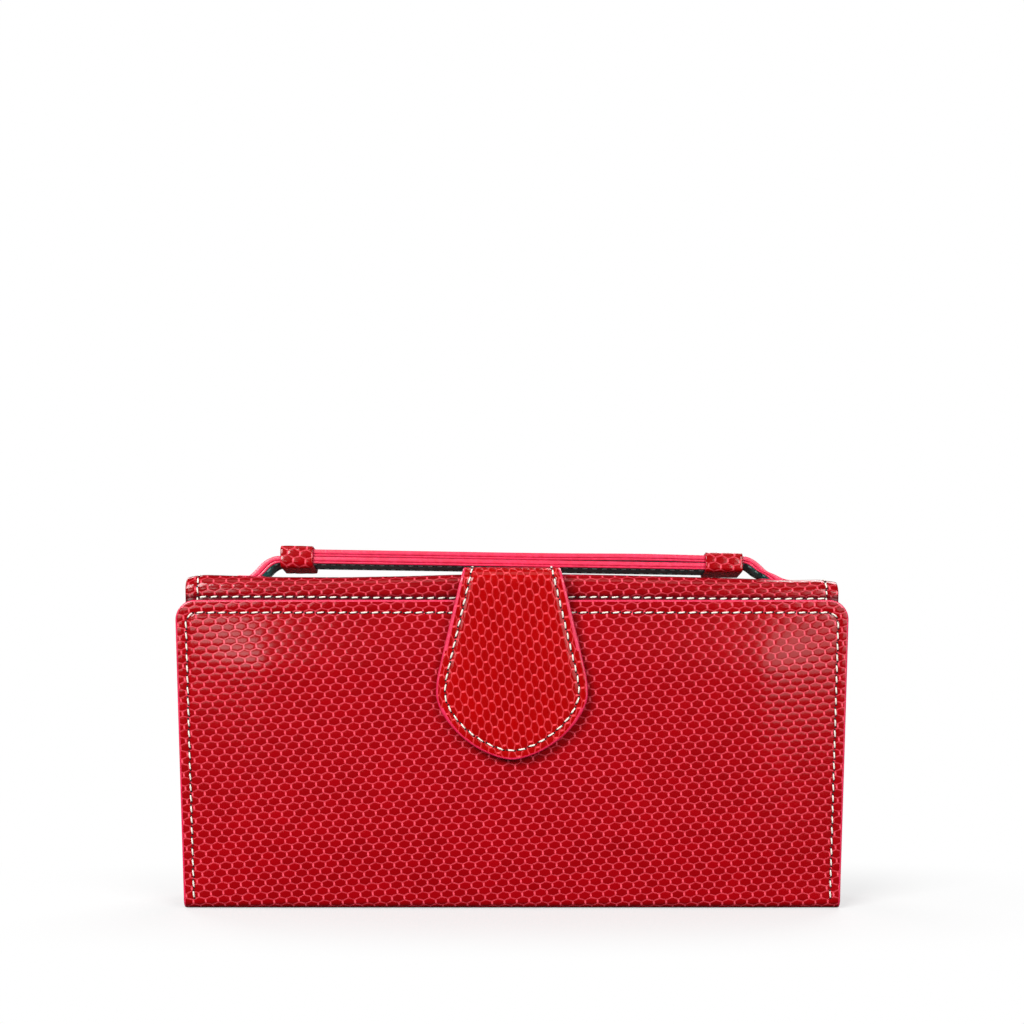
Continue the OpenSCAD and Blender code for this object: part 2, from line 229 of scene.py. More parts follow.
class Graph:
    """Short names for adding shader nodes"""

    def __init__(self, name):
        self.material = bpy.data.materials.new(name)
        self.material.use_nodes = True
        self.tree = self.material.node_tree
        self.bsdf = self.tree.nodes["Principled BSDF"]

    def add(self, kind, *inputs, out=0, **settings):
        node = self.tree.nodes.new("ShaderNode" + kind)
        for key, value in settings.items():
            setattr(node, key, value)
        for key, value in enumerate(inputs):
            self.put(node.inputs[key], value)
        return node.outputs[out]

    def put(self, socket, value):
        if value is None:
            return
        if isinstance(value, bpy.types.NodeSocket):
            self.tree.links.new(value, socket)
        else:
            socket.default_value = value

    def math(self, operation, *inputs):
        return self.add("Math", *inputs, operation=operation)

    def vector(self, operation, *inputs, out=0):
        return self.add("VectorMath", *inputs, operation=operation, out=out)

    def scaled(self, vector, factor):
        node = self.tree.nodes.new("ShaderNodeVectorMath")
        node.operation = "SCALE"
        self.put(node.inputs[0], vector)
        node.inputs["Scale"].default_value = factor
        return node.outputs[0]

    def place(self):
        """Object coordinates in millimetres"""
        return self.scaled(self.add("TexCoord", out=3), 1 / MM)

    def noise(self, vector, scale, detail=2.0, rough=0.5):
        return self.add("TexNoise", vector, None, scale, detail, rough)

    def span(self, value, a, b, c=0.0, d=1.0, smooth_step=False):
        kind = "SMOOTHSTEP" if smooth_step else "LINEAR"
        return self.add("MapRange", value, a, b, c, d, interpolation_type=kind)

    def blend(self, factor, a, b):
        node = self.tree.nodes.new("ShaderNodeMix")
        node.data_type = "RGBA"
        self.put(node.inputs["Factor"], factor)
        self.put(node.inputs[6], a)
        self.put(node.inputs[7], b)
        return node.outputs[2]

    def bump(self, height, strength=1.0):
        """Bump from a height in millimetres"""
        node = self.tree.nodes.new("ShaderNodeBump")
        node.inputs["Strength"].default_value = strength
        node.inputs["Distance"].default_value = MM
        self.put(node.inputs["Height"], height)
        return node.outputs["Normal"]

    def finish(self, color, roughness, normal=None, **constants):
        self.put(self.bsdf.inputs["Base Color"], color)
        self.put(self.bsdf.inputs["Roughness"], roughness)
        if normal is not None:
            self.put(self.bsdf.inputs["Normal"], normal)
        for key, value in constants.items():
            self.bsdf.inputs[key.replace("_", " ")].default_value = value
        return self.material


def rgb(r, g, b):
    return (r, g, b, 1.0)


def snake_leather(name, cell, line, dark, rough=0.26, coat=0.8, crease=None):
    """Patent leather embossed with a net of scales. crease gives the two lengths along the sheet
    between which a painted shade in the crease fades from near black to the leather's own colour"""
    g = Graph(name)
    uv = g.add("UVMap", uv_map="flat")
    a = g.vector("DOT_PRODUCT", uv, (TO_CELL[0, 0], TO_CELL[0, 1], 0), out=1)
    b = g.vector("DOT_PRODUCT", uv, (TO_CELL[1, 0], TO_CELL[1, 1], 0), out=1)
    place = g.add("CombineXYZ", a, b, 0.0)
    found = []
    for shift in (0.5, 0.0):
        moved = g.vector("ADD", place, (shift, shift, 0.5))
        part = g.vector("SUBTRACT", g.vector("FRACTION", moved), (0.5, 0.5, 0.5))
        part = g.vector("MULTIPLY", part, (1, ROOT3, 0))
        found.append((part, g.vector("LENGTH", part, out=1)))
    near = g.math("LESS_THAN", found[0][1], found[1][1])
    local = g.blend(near, found[1][0], found[0][0])
    # Centre of the scale, which numbers it
    centre = g.vector("SUBTRACT", place, g.vector("MULTIPLY", local, (1, 1 / ROOT3, 0)))
    tone = g.add("TexWhiteNoise", g.vector("SNAP", g.vector("ADD", centre, (0.1, 0.1, 0)),
                                           (0.25, 0.25, 1)), noise_dimensions="2D")
    folded = g.add("SeparateXYZ", g.vector("ABSOLUTE", local))
    x, y = folded, folded.node.outputs[1]
    upright = g.math("MULTIPLY_ADD", x, -3.73, 1.865)
    slant = g.math("SUBTRACT", g.math("MULTIPLY_ADD", x, -1.25, 1.25),
                   g.math("MULTIPLY", y, 1.25 * ROOT3))
    edge = g.math("SMOOTH_MIN", upright, slant, 0.3)
    wobble = g.noise(uv, 0.9, 2.0)
    edge = g.math("ADD", edge, g.span(wobble, 0.3, 0.7, -0.07, 0.07))
    net = g.span(edge, 0.03, 0.25, 1.0, 0.0, True)
    # Painted highlight: the short edges between the scales of one row get the net's light colour
    painted_glint = g.math("MULTIPLY", g.span(x, 0.40, 0.475, 0.0, 1.0, True),
                 g.span(y, 0.10, 0.30, 1.0, 0.0, True))
    cloud = g.noise(uv, 0.035, 3.0)
    worn = g.noise(uv, 0.4, 3.0)
    body = g.blend(g.span(tone, 0.0, 1.0, 0.0, 0.55), cell, dark)
    body = g.blend(g.span(cloud, 0.35, 0.7, 0.0, 0.35), body, dark)
    strength = g.math("MULTIPLY", net, g.span(worn, 0.3, 0.7, 0.30, 0.55))
    strength = g.math("MAXIMUM", strength, g.math("MULTIPLY", painted_glint, g.span(
        worn, 0.3, 0.7, 0.70, 1.0)))
    color = g.blend(strength, body, line)
    # Painted shade: the colour goes near black low on the sheet, in the crease
    if crease:
        along = g.add("SeparateXYZ", uv, out=1)
        color = g.blend(g.span(along, *crease, 0.80, 0.0, True), color, rgb(0.05, 0.001, 0.003))
    height = g.math("MULTIPLY_ADD", g.span(edge, 0.0, 0.5, 0.0, 1.0, True), 0.05,
                    g.math("MULTIPLY", g.noise(uv, 6.0, 2.0), 0.006))
    roughness = g.span(worn, 0.3, 0.75, rough - 0.05, rough + 0.08)
    material = g.finish(color, roughness, g.bump(height), IOR=1.5, Specular_IOR_Level=0.06,
                        Coat_Weight=coat, Coat_Roughness=0.11, Coat_IOR=1.4)
    # The varnish fills the finest grain
    g.put(g.bsdf.inputs["Coat Normal"], g.bump(g.math("MULTIPLY", g.span(
        edge, 0.0, 0.6, 0.0, 1.0, True), 0.014)))
    return material


def smooth_leather(name, color, dark, rough=0.42, coat=0.15, grain=0.03, spot=1.6):
    """Leather with a fine pebbled grain"""
    g = Graph(name)
    uv = g.add("UVMap", uv_map="flat")
    cells = g.add("TexVoronoi", uv, None, spot, feature="SMOOTH_F1")
    cloud = g.noise(uv, 0.08, 3.0)
    fine = g.noise(uv, 3.0, 3.0)
    tint = g.blend(g.span(cloud, 0.3, 0.7, 0.0, 0.6), color, dark)
    # Painted shade: darker where the grain lies low
    tint = g.blend(g.span(cells, 0.1, 0.6, 0.25, 0.0), tint, dark)
    height = g.math("MULTIPLY_ADD", cells, grain, g.math("MULTIPLY", fine, grain * 0.5))
    return g.finish(tint, g.span(fine, 0.3, 0.7, rough - 0.06, rough + 0.08), g.bump(height),
                    Coat_Weight=coat, Coat_Roughness=0.25)


def painted_edge(name, color, light):
    """Edge paint, a little uneven along the edge"""
    g = Graph(name)
    place = g.place()
    mottle = g.noise(place, 0.8, 3.0)
    fine = g.noise(place, 5.0, 2.0)
    tint = g.blend(g.span(mottle, 0.35, 0.65), color, light)
    return g.finish(tint, g.span(fine, 0.3, 0.7, 0.28, 0.42), g.bump(
        g.math("MULTIPLY", mottle, 0.05)), Coat_Weight=0.3, Coat_Roughness=0.2)


def cloth(name, color, dark, pitch=0.45, rough=0.8):
    """Plain weave: threads go over and under each other at this pitch"""
    g = Graph(name)
    uv = g.add("UVMap", uv_map="flat")
    parts = g.add("SeparateXYZ", g.scaled(uv, math.pi / pitch))
    across = g.math("SINE", parts)
    along = g.math("SINE", parts.node.outputs[1])
    over = g.math("MULTIPLY", across, along)
    thread = g.math("ADD", g.math("ABSOLUTE", across), g.math("ABSOLUTE", along))
    height = g.math("MULTIPLY_ADD", over, 0.5, g.math("MULTIPLY", thread, 0.25))
    slub = g.noise(uv, 0.35, 3.0)
    # Painted shade: darker where the weave lies low, between the threads
    tint = g.blend(g.span(height, -0.2, 0.9, 1.0, 0.0), color, dark)
    tint = g.blend(g.span(slub, 0.35, 0.7, 0.0, 0.4), tint, dark)
    return g.finish(tint, rough, g.bump(g.math("MULTIPLY", height, 0.08)),
                    Sheen_Weight=0.3, Sheen_Roughness=0.4)


def metal(name, color, rough, brushed=0.0):
    """Plated metal with faint wear"""
    g = Graph(name)
    place = g.place()
    stretched = g.vector("MULTIPLY", place, (1.0, 1.0, 1.0 + brushed * 12))
    wear = g.noise(stretched, 1.4, 4.0)
    tint = g.blend(g.span(wear, 0.35, 0.75, 0.0, 0.35), color,
                   tuple(0.6 * c for c in color[:3]) + (1.0,))
    return g.finish(tint, g.span(wear, 0.3, 0.7, rough, rough + 0.16),
                    g.bump(g.math("MULTIPLY", wear, 0.006)), Metallic=1.0)


def plain(name, color, dark, rough, grain, size):
    """A matt material with a mottled grain: board, thread, or a hole's painted shade"""
    g = Graph(name)
    place = g.place()
    mottle = g.noise(place, size, 3.0)
    tint = g.blend(g.span(mottle, 0.35, 0.65), color, dark)
    return g.finish(tint, rough, g.bump(g.math("MULTIPLY", mottle, grain)))


PATENT = snake_leather("patent", rgb(0.335, 0.0005, 0.0030), rgb(0.98, 0.100, 0.150),
                       rgb(0.225, 0.0003, 0.0015))
# The body's leather carries a painted shade in the crease under the lip
PATENT_BODY = snake_leather("patent_body", rgb(0.29, 0.0005, 0.0030), rgb(0.90, 0.085, 0.130),
                            rgb(0.19, 0.0003, 0.0015), crease=(3.4, 5.2))
PATENT_TAB = snake_leather("patent_tab", rgb(0.385, 0.0004, 0.0008), rgb(0.98, 0.080, 0.105),
                           rgb(0.265, 0.0003, 0.0006))
SLOT = smooth_leather("slot_leather", rgb(0.36, 0.008, 0.018), rgb(0.24, 0.004, 0.010))
STRAP = smooth_leather("strap_leather", rgb(0.66, 0.025, 0.085), rgb(0.48, 0.012, 0.045),
                       rough=0.34, coat=0.35)
TEAL = smooth_leather("strap_lining", rgb(0.02, 0.48, 0.44), rgb(0.010, 0.24, 0.22),
                      rough=0.45, coat=0.1, grain=0.04)
EDGE = painted_edge("edge_paint", rgb(0.60, 0.008, 0.050), rgb(0.72, 0.020, 0.085))
LINING = cloth("lining", rgb(0.26, 0.012, 0.022), rgb(0.11, 0.004, 0.009))
TAPE = cloth("zip_tape", rgb(0.33, 0.012, 0.028), rgb(0.15, 0.005, 0.012), pitch=0.7, rough=0.7)
BOARD = plain("board", rgb(0.55, 0.50, 0.43), rgb(0.42, 0.37, 0.31), 0.9, 0.05, 1.2)
NICKEL = metal("nickel", rgb(0.80, 0.79, 0.77), 0.16)
STEEL = metal("steel", rgb(0.55, 0.55, 0.56), 0.32, brushed=1.0)
THREAD = plain("thread", rgb(0.90, 0.86, 0.78), rgb(0.74, 0.66, 0.56), 0.55, 0.10, 4.0)
TEAL_THREAD = plain("teal_thread", rgb(0.42, 0.62, 0.58), rgb(0.25, 0.45, 0.42), 0.6, 0.10, 4.0)
RED_THREAD = plain("red_thread", rgb(0.50, 0.03, 0.06), rgb(0.34, 0.015, 0.03), 0.6, 0.10, 4.0)
# Near black: painted shade inside needle holes and the strap slits
HOLE_SHADE = plain("hole_shade", rgb(0.030, 0.003, 0.006), rgb(0.015, 0.002, 0.004), 0.9, 0.02, 3.0)


# ---- Meshes ----

def make_object(name, points, faces, materials, kinds=None, flat=None):
    """A mesh piece. kinds gives each face's material, flat each point's flat coordinates"""
    mesh = bpy.data.meshes.new(name)
    mesh.from_pydata((np.asarray(points, float) * MM).tolist(), [], faces)
    for material in materials:
        mesh.materials.append(material)
    if kinds is not None:
        mesh.polygons.foreach_set("material_index", np.asarray(kinds, np.int32))
    layer = mesh.uv_layers.new(name="flat")
    index = np.zeros(len(mesh.loops), np.int32)
    mesh.loops.foreach_get("vertex_index", index)
    flat = np.asarray(points)[:, :2] if flat is None else np.asarray(flat, float)
    layer.data.foreach_set("uv", flat[index].astype(np.float32).ravel())
    work = bmesh.new()
    work.from_mesh(mesh)
    bmesh.ops.recalc_face_normals(work, faces=work.faces)
    work.to_mesh(mesh)
    work.free()
    mesh.shade_smooth()
    obj = bpy.data.objects.new(name, mesh)
    bpy.context.scene.collection.objects.link(obj)
    return obj


def shell(name, outer, inner, flat, materials, stride=12, painted=None):
    """A closed sheet. outer and inner are grids of points. The inside face is coarse across.
    painted marks the points of the outer face that the edge paint covers"""
    rows, cols = outer.shape[:2]
    a = np.arange(rows * cols).reshape(rows, cols)
    kept = sorted(set(range(0, cols, stride)) | {cols - 1})
    used = np.zeros((rows, cols), bool)
    used[0] = used[-1] = True
    used[:, kept] = True
    b = np.full((rows, cols), -1)
    b[used] = rows * cols + np.arange(used.sum())
    points = np.vstack([outer.reshape(-1, 3), inner[used]])
    flats = np.vstack([flat.reshape(-1, 2), flat[used]])
    quads = np.stack([a[:-1, :-1], a[:-1, 1:], a[1:, 1:], a[1:, :-1]], -1).reshape(-1, 4)
    ring = np.zeros((rows - 1, cols - 1), int)
    ring[0] = ring[-1] = 1
    ring[:, 0] = ring[:, -1] = 1
    if painted is not None:
        count = painted[:-1, :-1] + 0 + painted[1:, :-1] + painted[:-1, 1:] + painted[1:, 1:]
        ring |= count > 1
    faces, kinds = quads.tolist(), ring.ravel().tolist()
    for i in range(rows - 1):
        for c0, c1 in zip(kept, kept[1:]):
            near = range(c0, c1 + 1) if i == 0 else (c0, c1)
            far = range(c0, c1 + 1) if i == rows - 2 else (c0, c1)
            faces.append([b[i, c] for c in near] + [b[i + 1, c] for c in reversed(far)])
            kinds.append(2)
    around = ([(0, c) for c in range(cols)] + [(r, cols - 1) for r in range(1, rows)]
              + [(rows - 1, c) for c in range(cols - 2, -1, -1)]
              + [(r, 0) for r in range(rows - 2, 0, -1)])
    for p, q in zip(around, around[1:] + around[:1]):
        faces.append([a[p], a[q], b[q], b[p]])
        kinds.append(1)
    faces = [[int(k) for k in face] for face in faces]
    return make_object(name, points, faces, materials, kinds, flats)


def ring_faces(rows, cols):
    """Faces of rings of points joined one to the next, with both ends capped"""
    a = np.arange(rows * cols).reshape(rows, cols)
    quads = np.stack([a[:-1], np.roll(a[:-1], -1, 1), np.roll(a[1:], -1, 1), a[1:]], -1)
    return quads.reshape(-1, 4).tolist() + [a[0].tolist(), a[-1][::-1].tolist()]


def tube(name, grid, materials, kinds=None, flat=None, closed=True):
    """Rings of points joined one to the next. closed joins the last ring to the first"""
    rows, cols = grid.shape[:2]
    kind = np.zeros(cols, int) if kinds is None else np.asarray(kinds)
    if closed:
        a = np.arange(rows * cols).reshape(rows, cols)
        below = np.roll(a, -1, 0)
        quads = np.stack([a, np.roll(a, -1, 1), np.roll(below, -1, 1), below], -1)
        faces = quads.reshape(-1, 4).tolist()
        kind = np.tile(kind, rows).tolist()
    else:
        faces = ring_faces(rows, cols)
        kind = np.tile(kind, rows - 1).tolist() + [int(np.max(kind))] * 2
    flats = None if flat is None else flat.reshape(-1, 2)
    return make_object(name, grid.reshape(-1, 3), faces, materials, kind, flats)


def combine(name, parts):
    """Several pieces that share their materials made into one"""
    work = bmesh.new()
    for part in parts:
        work.from_mesh(part.data)
    mesh = parts[0].data.copy()
    work.to_mesh(mesh)
    work.free()
    for part in parts:
        old = part.data
        bpy.data.objects.remove(part)
        bpy.data.meshes.remove(old)
    mesh.name = name
    obj = bpy.data.objects.new(name, mesh)
    bpy.context.scene.collection.objects.link(obj)
    return obj


def patch(name, loops, place, thick, materials, step=3.0, bevel=0.12):
    """A flat-cut sheet of any outline; loops are its outline and its holes in flat coordinates.
    place(a, b, out) gives the points of its face"""
    rims = [resample(loop, min(step, 2.0), closed=True) for loop in loops]
    outline = np.vstack(rims)
    low, high = outline.min(0), outline.max(0)
    a, b = np.meshgrid(np.arange(low[0] + step / 2, high[0], step),
                       np.arange(low[1] + step / 2, high[1], step))
    a, b = a.ravel(), b.ravel()
    inside = in_loop(a, b, rims[0])
    for rim in rims[1:]:
        inside &= ~in_loop(a, b, rim)
    for rim in rims:
        inside &= line_gap(a, b, rim) > step * 0.4
    points = np.vstack([outline, np.stack([a[inside], b[inside]], 1)])
    edges, start = [], 0
    for rim in rims:
        count = len(rim)
        edges += [(start + k, start + (k + 1) % count) for k in range(count)]
        start += count
    made = delaunay_2d_cdt([tuple(p) for p in points], edges, [], 1, 1e-5)
    points = np.array([tuple(p) for p in made[0]])
    faces = np.array([f for f in made[2]])
    middle = points[faces].mean(1)
    for rim in rims[1:]:
        faces = faces[~in_loop(middle[:, 0], middle[:, 1], rim)]
        middle = points[faces].mean(1)
    count = len(points)
    sides = {}
    for f in faces:
        for p, q in ((f[0], f[1]), (f[1], f[2]), (f[2], f[0])):
            sides[(int(p), int(q))] = True
    rim_sides = [(p, q) for p, q in sides if (q, p) not in sides]
    walls = [[q, p, p + count, q + count] for p, q in rim_sides]
    top = np.stack(place(points[:, 0], points[:, 1], 0.0), 1)
    under = np.stack(place(points[:, 0], points[:, 1], -thick), 1)
    listed = faces.tolist() + (faces[:, ::-1] + count).tolist() + walls
    kinds = [0] * (2 * len(faces)) + [1] * len(walls)
    obj = make_object(name, np.vstack([top, under]), listed, materials, kinds,
                      np.vstack([points, points]))
    if bevel:
        work = bmesh.new()
        work.from_mesh(obj.data)
        sharp = [e for e in work.edges if len(e.link_faces) == 2
                 and e.link_faces[0].material_index != e.link_faces[1].material_index]
        bmesh.ops.bevel(work, geom=sharp, offset=bevel * MM, segments=2, affect="EDGES",
                        clamp_overlap=True, material=1)
        work.to_mesh(obj.data)
        work.free()
        obj.data.shade_smooth()
    return obj


def in_loop(x, y, loop):
    """True for each point inside a closed outline"""
    inside = np.zeros(x.shape, bool)
    for (x0, y0), (x1, y1) in zip(loop, np.roll(loop, -1, 0)):
        crosses = (y0 > y) != (y1 > y)
        inside ^= crosses & (x < x0 + (y - y0) * (x1 - x0) / (y1 - y0 + 1e-12))
    return inside


def rounded(low, high, r, n=6):
    """Outline of a rectangle with rounded corners"""
    centres = [(high[0] - r, high[1] - r), (low[0] + r, high[1] - r),
               (low[0] + r, low[1] + r), (high[0] - r, low[1] + r)]
    return np.vstack([arc(c, r, 90 * k, 90 * k + 90, n) for k, c in enumerate(centres)])


def lathe(name, profile, centre, materials, sides=40):
    """A turned piece with its axis along Y. profile is (radius, y)"""
    angle = np.linspace(0, 2 * math.pi, sides, endpoint=False)
    r = np.array([p[0] for p in profile])[:, None]
    y = np.array([p[1] for p in profile])[:, None]
    grid = np.stack([centre[0] + r * np.cos(angle), y + 0 * angle, centre[1] + r * np.sin(angle)],
                    -1)
    return tube(name, grid, materials, closed=False)


# ---- Stitching ----

PITCH = 3.24
ALONG, ROUND = 7, 8  # rings in a stitch, and sides of each


def stitches(name, surface, lines, thread=None, pitch=PITCH, width=0.25, length=2.45, lift=0.20,
             slant=0.13, sunk=0.05, holes=True):
    """Lockstitches along lines of flat coordinates. surface(x, s, out) gives the points"""
    starts = []
    for line in lines:
        line = np.asarray(line, float)
        run = lengths(line)
        count = max(1, int(round(run[-1] / pitch)))
        each = run[-1] / count
        part = np.linspace(0, 1, ALONG)
        t = (np.arange(count)[:, None] + 0.5) * each + (part - 0.5) * length * each / pitch
        x = np.interp(t, run, line[:, 0])
        s = np.interp(t, run, line[:, 1])
        way = np.stack([x[:, -1] - x[:, 0], s[:, -1] - s[:, 0]], 1)
        way /= np.linalg.norm(way, axis=1)[:, None]
        off = (part - 0.5) * 2 * slant
        starts.append(np.stack([x - way[:, 1:] * off, s + way[:, :1] * off], -1))
    flat = np.concatenate(starts)
    rise = lift * np.sin(np.linspace(0, math.pi, ALONG)) ** 0.7 - sunk
    rise[[0, -1]] -= 0.12
    line = surface(flat[..., 0], flat[..., 1], rise)
    above = surface(flat[..., 0], flat[..., 1], rise + 1.0) - line
    above /= np.linalg.norm(above, axis=-1, keepdims=True)
    along = np.gradient(line, axis=1)
    along /= np.linalg.norm(along, axis=-1, keepdims=True)
    aside = np.cross(along, above)
    radius = width * np.array([0.35, 0.85, 1.0, 1.0, 1.0, 0.85, 0.35])
    angle = np.linspace(0, 2 * math.pi, ROUND, endpoint=False)
    rings = (line[:, :, None] + radius[None, :, None, None] * (
        np.cos(angle)[:, None] * aside[:, :, None]
        + 0.8 * np.sin(angle)[:, None] * above[:, :, None]))
    count = len(rings)
    size = ALONG * ROUND
    points = [rings.reshape(-1, 3)]
    faces = [[k * size + v for v in face]
             for k in range(count) for face in ring_faces(ALONG, ROUND)]
    kinds = [0] * len(faces)
    if not holes:
        return make_object(name, points[0], faces, [thread], kinds)
    # Needle holes at both ends of each stitch: pits in near-black painted shade
    where = np.concatenate([flat[:, 0], flat[:, -1]])
    middle = surface(where[:, 0], where[:, 1], -0.06)
    up = surface(where[:, 0], where[:, 1], 0.94) - middle
    up /= np.linalg.norm(up, axis=-1, keepdims=True)
    side = np.concatenate([along[:, 0], along[:, -1]])
    cross = np.cross(side, up)
    bands = [(0.16, 0.16), (0.34, 0.04), (0.30, -0.12), (0.10, -0.2)]
    pits = np.stack([middle[:, None] + r * (np.cos(angle)[:, None] * side[:, None] * 1.1
                     + np.sin(angle)[:, None] * cross[:, None]) + h * up[:, None]
                     for r, h in bands], 1)
    deep = len(bands) * ROUND
    extra = [[count * size + k * deep + v for v in face]
             for k in range(len(pits)) for face in ring_faces(len(bands), ROUND)]
    points.append(pits.reshape(-1, 3))
    return make_object(name, np.vstack(points), faces + extra,
                       [thread or THREAD, HOLE_SHADE], kinds + [1] * len(extra))


def groove(x, s, lines, deep=0.2, width=0.5):
    """The dent that a row of stitches pulls into the leather"""
    gap = np.full(np.shape(x), 1e9)
    for line in lines:
        gap = np.minimum(gap, line_gap(x, s, line, closed=False))
    return -deep * bump(gap, width)


def declare(nodes):
    """Hide the CAD nodes that a piece stands for"""
    if nodes:
        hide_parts(*nodes)


def ride(obj, body, nodes=()):
    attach(obj, body)
    declare(nodes)


def bend(obj, bodies, start, end, slot, nodes=()):
    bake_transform(obj)
    declare(nodes)


# ---- Shapes of the sheets ----

LIP_BOTTOM = 90.5
wrap_path = Path([(LIP_Y, LIP_BOTTOM), arc(RIDGE_C, RIDGE_R, 180, ROOF_ANGLE),
                  arc(REAR_C, REAR_R, ROOF_ANGLE, 0), arc(BASE_C, BASE_R, 0, -90),
                  (FOLD_C[0], 0)])
REAR_S = wrap_path.find(BACK_Y, REAR_C[1])
BASE_S = wrap_path.find(BACK_Y, BASE_R)

# Sag of the roof between the tab and the two ends, where the handle pulls on it
SAG_X = [-98, -94, -84, -70, -50, -30, -16, 16, 30, 50, 70, 84, 93, 98]
SAG_Z = [-1.2, -0.1, -0.4, -0.8, -0.8, -0.4, 0, 0, -0.3, -0.8, -1.3, -1.8, -1.5, -2.5]
sag_x = np.arange(-110, 110.5, 0.5)
sag_z = np.convolve(np.interp(sag_x, SAG_X, SAG_Z), bump(np.arange(-12, 13), 5.0), "same")
sag_z /= np.convolve(np.ones(len(sag_x)), bump(np.arange(-12, 13), 5.0), "same")


def waves(x, s, amount, turn=0.0):
    """Slow waves that hand-cut leather keeps"""
    return amount / 3 * (np.sin(x / 19 + turn) + np.sin(s / 15 + x / 37 + 2 * turn)
                         + np.sin((x - s) / 27 + 3 * turn))


def wrap_surface(x, s, out):
    y, z = wrap_path.at(s, out)
    z = z + np.interp(x, sag_x, sag_z) * smooth(92.5, 99, z)
    return np.stack([x + 0 * z, y + 0 * x, z], -1)


cover_path = Path([(FOLD_C[0], 0), arc(FOLD_C, FOLD_R, 270, 180), (COVER_Y, COVER_TOP)])
COVER_S = cover_path.length
UPRIGHT_S = cover_path.find(COVER_Y, FOLD_R)
SNAP_S = cover_path.find(COVER_Y, SNAP_Z)
COVER_HALF = (99.0, COVER_HIGH[0])
CORNER = 6.0


def cover_half(s):
    """Half the cover's width, with rounded upper corners"""
    half = COVER_HALF[0] + (COVER_HALF[1] - COVER_HALF[0]) * np.clip(
        (s - UPRIGHT_S) / (COVER_S - UPRIGHT_S), 0, 1)
    rise = np.clip(s - (COVER_S - CORNER), 0, CORNER)
    return half - CORNER + np.sqrt(np.maximum(CORNER ** 2 - rise ** 2, 0))


def bent_line(low, half, top, r):
    """From low on the left, up, across at top and down on the right, with rounded corners"""
    left = arc((-half + r, top - r), r, 180, 90, 9)
    right = arc((half - r, top - r), r, 90, 0, 9)
    return np.vstack([[(-half + 0.9, low)], left, right, [(half - 0.9, low)]])


# Width of the painted edge that shows on the face of the cover and of the tab
COVER_PAINT, TAB_PAINT = 0.4, 0.55
COVER_SEAM = bent_line(UPRIGHT_S, COVER_HALF[1] - 3.2, COVER_S - 3.75, 3.2)


def cover_puff(x, s):
    """The padded middle of the cover stands out from its sewn rim; the snap pulls it flat"""
    side = 96.5 - np.abs(x)
    top = COVER_S - 3.9 - s
    puff = smooth(-1, 24, side) * smooth(-1, 18, top) * smooth(-2, 26, s)
    middle = 1 - 0.35 * bump(x, 60) * bump(s - 60, 30)
    pulled = 1 - bump(np.hypot(x, s - SNAP_S), 13)
    return pulled * (1.05 * puff * middle + waves(x, s, 0.16, 0.7) * smooth(0, 12, top)
                     * smooth(UPRIGHT_S, UPRIGHT_S + 6, s))


def cover_surface(x, s, out):
    y, z = cover_path.at(s, cover_puff(x, s) + out)
    return np.stack([x + 0 * z, y, z], -1)


TAB_OUT, BEND_R = 2.1, 4.5
tab_path = Path([(BACK_Y + TAB_OUT, BRIDGE_LOW[2]), arc(REAR_C, REAR_R + TAB_OUT, 0, ROOF_ANGLE),
                 arc(RIDGE_C, RIDGE_R + TAB_OUT, ROOF_ANGLE, 90),
                 arc((TONGUE_LOW[1] + BEND_R, TONGUE_HIGH[2] - BEND_R), BEND_R, 90, 180),
                 (TONGUE_LOW[1], TONGUE_LOW[2])], side=-1)
TAB_S = tab_path.length
TAB_HALF, TONGUE_HALF = BRIDGE_HIGH[0], TONGUE_HIGH[0]
WIDE_Z, TOP_Z, TAPER = 65.5, TONGUE_HIGH[2], 0.24
SHOULDER = 2 * (TAB_HALF + TAPER * (TOP_Z - WIDE_Z) - TONGUE_HALF) / TAPER


def tongue_half(z):
    """Half the tongue's width: a round end, a shoulder and straight sides"""
    tip = np.clip((WIDE_Z - z) / (WIDE_Z - TONGUE_LOW[2]), 0, 1)
    end = TONGUE_HALF * (1 - tip ** 1.7) ** 0.62
    shoulder = TONGUE_HALF - TAPER / (2 * SHOULDER) * (z - WIDE_Z) ** 2
    straight = TAB_HALF + TAPER * (TOP_Z - z)
    return np.where(z < WIDE_Z, end, np.where(z < WIDE_Z + SHOULDER, shoulder, straight))


BEND_S = tab_path.find(TONGUE_LOW[1] + BEND_R, TONGUE_HIGH[2])


def tab_half(s):
    z = tab_path.at(s)[1]
    return np.where(s > BEND_S, np.maximum(tongue_half(z), 0.0), TAB_HALF)


def tab_surface(x, s, out):
    y, z = tab_path.at(s, out)
    # The tongue's free edges curl towards the cover
    front = smooth(BEND_S + 6, BEND_S + 24, s)
    y = y + front * (0.5 * (x / TONGUE_HALF) ** 2 - 0.15)
    return np.stack([x + 0 * z, y, z], -1)


tab_s = np.unique(np.concatenate([
    graded(0, TAB_S - 0.03, 0.5, (0, 0.1, 0.25, 0.5)),
    TAB_S - 0.03 - 5 * (1 - np.sin(np.radians(np.linspace(0, 90, 22))))]))
TAB_RIM = np.stack([tab_half(tab_s), tab_s], 1)
TAB_OUTLINE = np.vstack([TAB_RIM, TAB_RIM[::-1] * (-1, 1)])


def inset_line(gap):
    """A line inside the tab's outline, all round"""
    s = np.linspace(gap, TAB_S - 0.002, 500)
    half = tab_half(s)
    slope = np.gradient(half, s)
    size = np.hypot(1, slope)
    right = np.stack([half - gap / size, s + gap * slope / size], 1)
    right = right[right[:, 0] > 0.2]
    return np.vstack([right, right[::-1] * (-1, 1), right[:1]])


TAB_SEAM = inset_line(2.7)
HEM_S = 3.35
SIDE_X = HALF_WRAP - 3.7
HEM = np.array([(x, HEM_S + 0.18 * math.sin(x / 15) - 0.002 * x)
                for x in np.linspace(-SIDE_X, SIDE_X, 60)])
WRAP_SEAMS = [HEM] + [np.array([(side * SIDE_X, 0.9), (side * SIDE_X, BASE_S)])
                      for side in (-1, 1)]

# ---- Body, cover and tab ----

